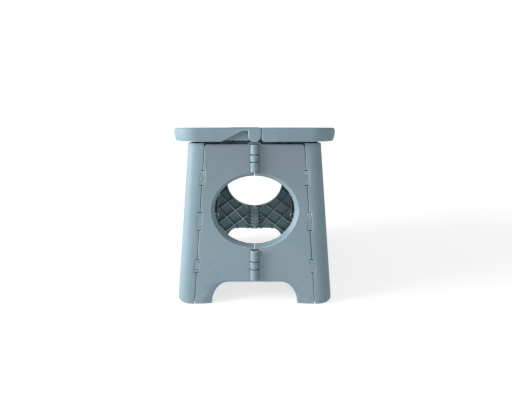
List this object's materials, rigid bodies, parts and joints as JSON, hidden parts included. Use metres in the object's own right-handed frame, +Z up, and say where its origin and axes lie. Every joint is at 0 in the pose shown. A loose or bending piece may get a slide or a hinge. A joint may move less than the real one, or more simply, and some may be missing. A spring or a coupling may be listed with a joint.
{
  "type": "folding step stool",
  "caption": "Low folding step stool in moulded plastic: two seat leaves with a carrying slot over two legs and two hinged panels with round windows, all folding together.",
  "frame": {"origin": "floor level, under the middle of the seat", "axes": "+X across the folding side towards the right leg, +Y along the seat away from the pictured side, +Z up"},
  "size_m": [0.2152, 0.271, 0.2202],
  "materials": {
    "shell": "satin blue-grey moulded plastic with a fine grain",
    "pin": "smooth blue-grey moulded plastic"
  },
  "bodies": {
    "leg_left": {"leg_left": "shell", "leg_pin_front_left": "pin", "leg_pin_back_left": "pin", "seam_pin_front_left_lower": "pin", "seam_pin_front_left_middle": "pin", "seam_pin_front_left_upper": "pin", "seam_pin_back_left_lower": "pin", "seam_pin_back_left_middle": "pin", "seam_pin_back_left_upper": "pin"},
    "leg_right": {"leg_right": "shell", "leg_pin_front_right": "pin", "leg_pin_back_right": "pin", "seam_pin_front_right_lower": "pin", "seam_pin_front_right_middle": "pin", "seam_pin_front_right_upper": "pin", "seam_pin_back_right_lower": "pin", "seam_pin_back_right_middle": "pin", "seam_pin_back_right_upper": "pin"},
    "front_left": {"front_panel_left": "shell", "panel_pin_front_lower": "pin", "panel_pin_front_upper": "pin"},
    "front_right": {"front_panel_right": "shell"},
    "back_left": {"back_panel_left": "shell", "panel_pin_back_lower": "pin", "panel_pin_back_upper": "pin"},
    "back_right": {"back_panel_right": "shell"},
    "leaf_left": {"seat_leaf_left": "shell", "seat_pin_front": "pin", "seat_pin_back": "pin"},
    "leaf_right": {"seat_leaf_right": "shell"}
  },
  "joints": [
    {"name": "front_left_seam", "type": "hinge", "parent": "leg_left", "child": "front_left", "pos_m": [-0.0749, -0.128, 0], "axis": [0.0543, 0.0598, 0.9967], "range_deg": [0, 87]},
    {"name": "front_split", "type": "hinge", "parent": "front_left", "child": "front_right", "pos_m": [0, -0.1319, 0], "axis": [0, 0.0627, 0.998], "range_deg": [-174, 0]},
    {"name": "front_right_seam", "type": "hinge", "parent": "front_right", "child": "leg_right", "pos_m": [0.0749, -0.128, 0], "axis": [-0.0543, 0.0598, 0.9967], "range_deg": [0, 87]},
    {"name": "back_left_seam", "type": "hinge", "parent": "leg_left", "child": "back_left", "pos_m": [-0.0749, 0.128, 0], "axis": [0.0543, -0.0598, 0.9967], "range_deg": [-87, 0]},
    {"name": "back_split", "type": "hinge", "parent": "back_left", "child": "back_right", "pos_m": [0, 0.1319, 0], "axis": [0, -0.0627, 0.998], "range_deg": [0, 174]},
    {"name": "leaf_left_pivot", "type": "hinge", "parent": "leg_left", "child": "leaf_left", "pos_m": [-0.0918, 0, 0.209], "axis": [0, -1, 0], "range_deg": [0, 65]},
    {"name": "leaf_right_pivot", "type": "hinge", "parent": "leg_right", "child": "leaf_right", "pos_m": [0.0918, 0, 0.209], "axis": [0, 1, 0], "range_deg": [0, 65.5]}
  ],
  "couplings": [
    {"joint": "front_left_seam", "follows": "leaf_left_pivot", "ratio": 1.3378},
    {"joint": "front_split", "follows": "leaf_left_pivot", "ratio": -2.6696},
    {"joint": "front_right_seam", "follows": "leaf_left_pivot", "ratio": 1.3371},
    {"joint": "back_left_seam", "follows": "leaf_left_pivot", "ratio": -1.3378},
    {"joint": "back_split", "follows": "leaf_left_pivot", "ratio": 2.6696},
    {"joint": "leaf_right_pivot", "follows": "leaf_left_pivot", "ratio": 1}
  ]
}
